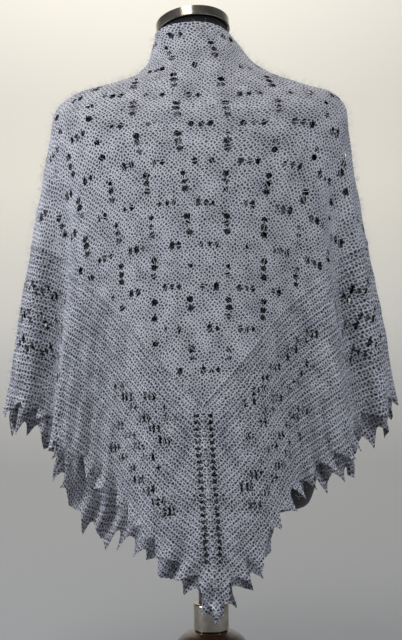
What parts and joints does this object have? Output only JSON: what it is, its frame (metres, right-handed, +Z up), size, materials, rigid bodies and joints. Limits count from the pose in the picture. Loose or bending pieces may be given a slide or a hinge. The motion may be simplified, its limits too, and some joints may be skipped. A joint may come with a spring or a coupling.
{
  "type": "lace shawl on dress form",
  "caption": "Hand-knitted mohair lace shawl with a pointed edging, folded corner to corner and worn over a limbless dress form on a turned stand.",
  "frame": {"origin": "centre of the base's underside, on the floor", "axes": "+Z up; -Y is the shawl's centre back, where its corner hangs; +X is the wearer's right"},
  "size_m": [0.5497, 0.3281, 0.9882],
  "materials": {
    "mohair_yarn": "hand-knitted mohair lace",
    "black_jersey": "tight knitted cover",
    "polished_steel": "polished",
    "black_lacquer": "lacquered",
    "dark_wood": "varnished"
  },
  "bodies": {
    "root": {"centre_panel": "mohair_yarn", "border_left": "mohair_yarn", "border_right": "mohair_yarn", "edging_left": "mohair_yarn", "edging_right": "mohair_yarn", "under_centre_panel": "mohair_yarn", "under_border_left": "mohair_yarn", "under_border_right": "mohair_yarn", "under_edging_left": "mohair_yarn", "under_edging_right": "mohair_yarn", "form_torso": "black_jersey", "neck_cap_band": "polished_steel", "neck_cap_plate": "black_lacquer", "pole": "dark_wood", "pole_collar": "polished_steel", "base": "dark_wood"}
  },
  "joints": []
}
